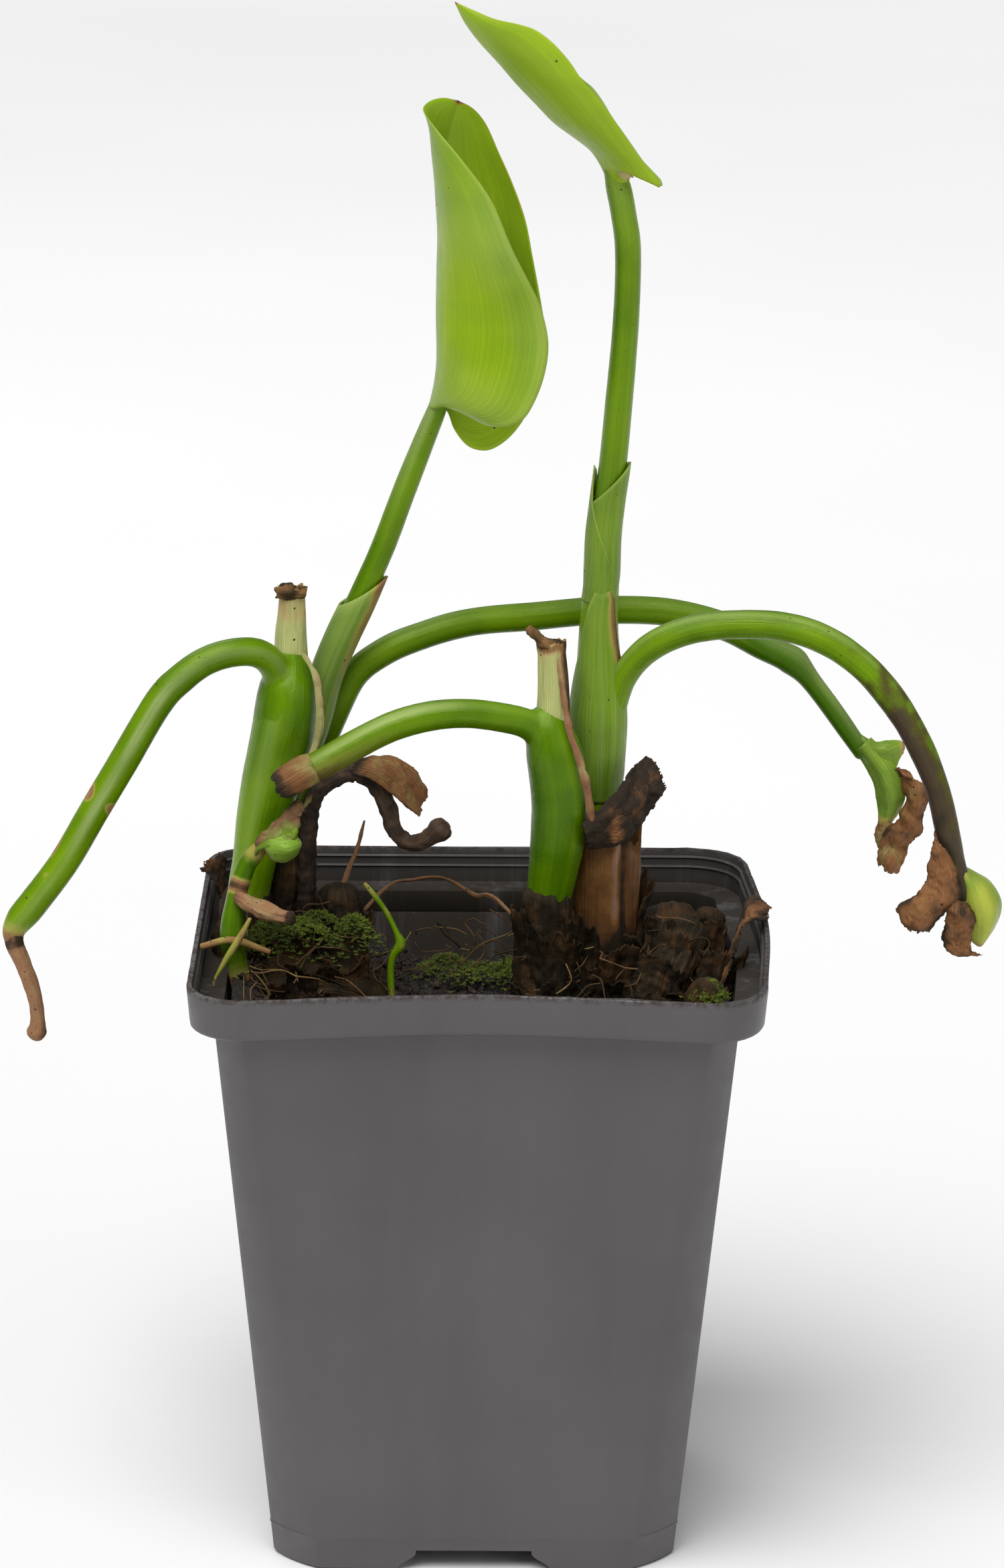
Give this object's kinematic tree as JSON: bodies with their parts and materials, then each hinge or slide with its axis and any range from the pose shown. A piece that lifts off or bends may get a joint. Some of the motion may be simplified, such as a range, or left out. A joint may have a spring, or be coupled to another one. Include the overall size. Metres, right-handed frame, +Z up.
{
  "type": "potted pickerelweed",
  "caption": "Pickerelweed in a square nursery pot: rolled young leaves on upright stems, bare stalks arching over the rim, and old leaf bases standing in dark soil",
  "frame": {"origin": "centre of the overall box, on the plane that the pot's feet rest on", "axes": "+Z up along the stems, -Y towards the front of the pot, +X to the right seen from the front"},
  "size_m": [0.1946, 0.1094, 0.3013],
  "materials": {
    "pot_plastic": "satin dark grey moulded plastic with dirt near the rim",
    "soil": "dark moist potting mix",
    "green_stalk": "waxy green stalk with fine lengthwise veins",
    "leaf": "waxy green leaf blade with close parallel veins",
    "pale_stub": "pale drying stub with a dark torn tip",
    "brown_base": "fibrous brown old leaf bases",
    "dead_leaf": "dry wrinkled brown leaf tissue"
  },
  "bodies": {
    "root": {"pot": "pot_plastic", "soil": "soil", "left_root_crown": "brown_base", "right_root_crown": "brown_base", "brown_sheath": "brown_base", "decayed_clump": "brown_base", "mossy_stump": "brown_base", "left_arching_stalk": "green_stalk", "back_arching_stalk": "green_stalk", "front_arching_stalk": "green_stalk", "right_arching_stalk": "green_stalk", "leaf_one_sheath": "green_stalk", "leaf_one_petiole": "green_stalk", "main_stem": "green_stalk", "upper_sheath": "green_stalk", "leaf_two_petiole": "green_stalk", "small_left_stem": "green_stalk", "back_leaf_remnant": "green_stalk", "small_green_stem": "green_stalk", "mossy_stick": "green_stalk", "leaf_one_blade": "leaf", "leaf_two_blade": "leaf", "right_green_lobe": "leaf", "small_left_leaf": "leaf", "yellow_blade": "leaf", "left_stub": "pale_stub", "right_stub": "pale_stub", "left_dry_end": "dead_leaf", "back_dry_blade": "dead_leaf", "dead_stalk": "dead_leaf", "dead_blade": "dead_leaf", "bent_dry_end": "dead_leaf", "rim_leaf_left": "dead_leaf", "front_dry_cap": "dead_leaf", "right_dry_blade": "dead_leaf", "dark_curled_leaf": "dead_leaf", "rim_leaf_right": "dead_leaf", "thin_dry_stem": "dead_leaf", "long_root": "dead_leaf"}
  },
  "joints": []
}
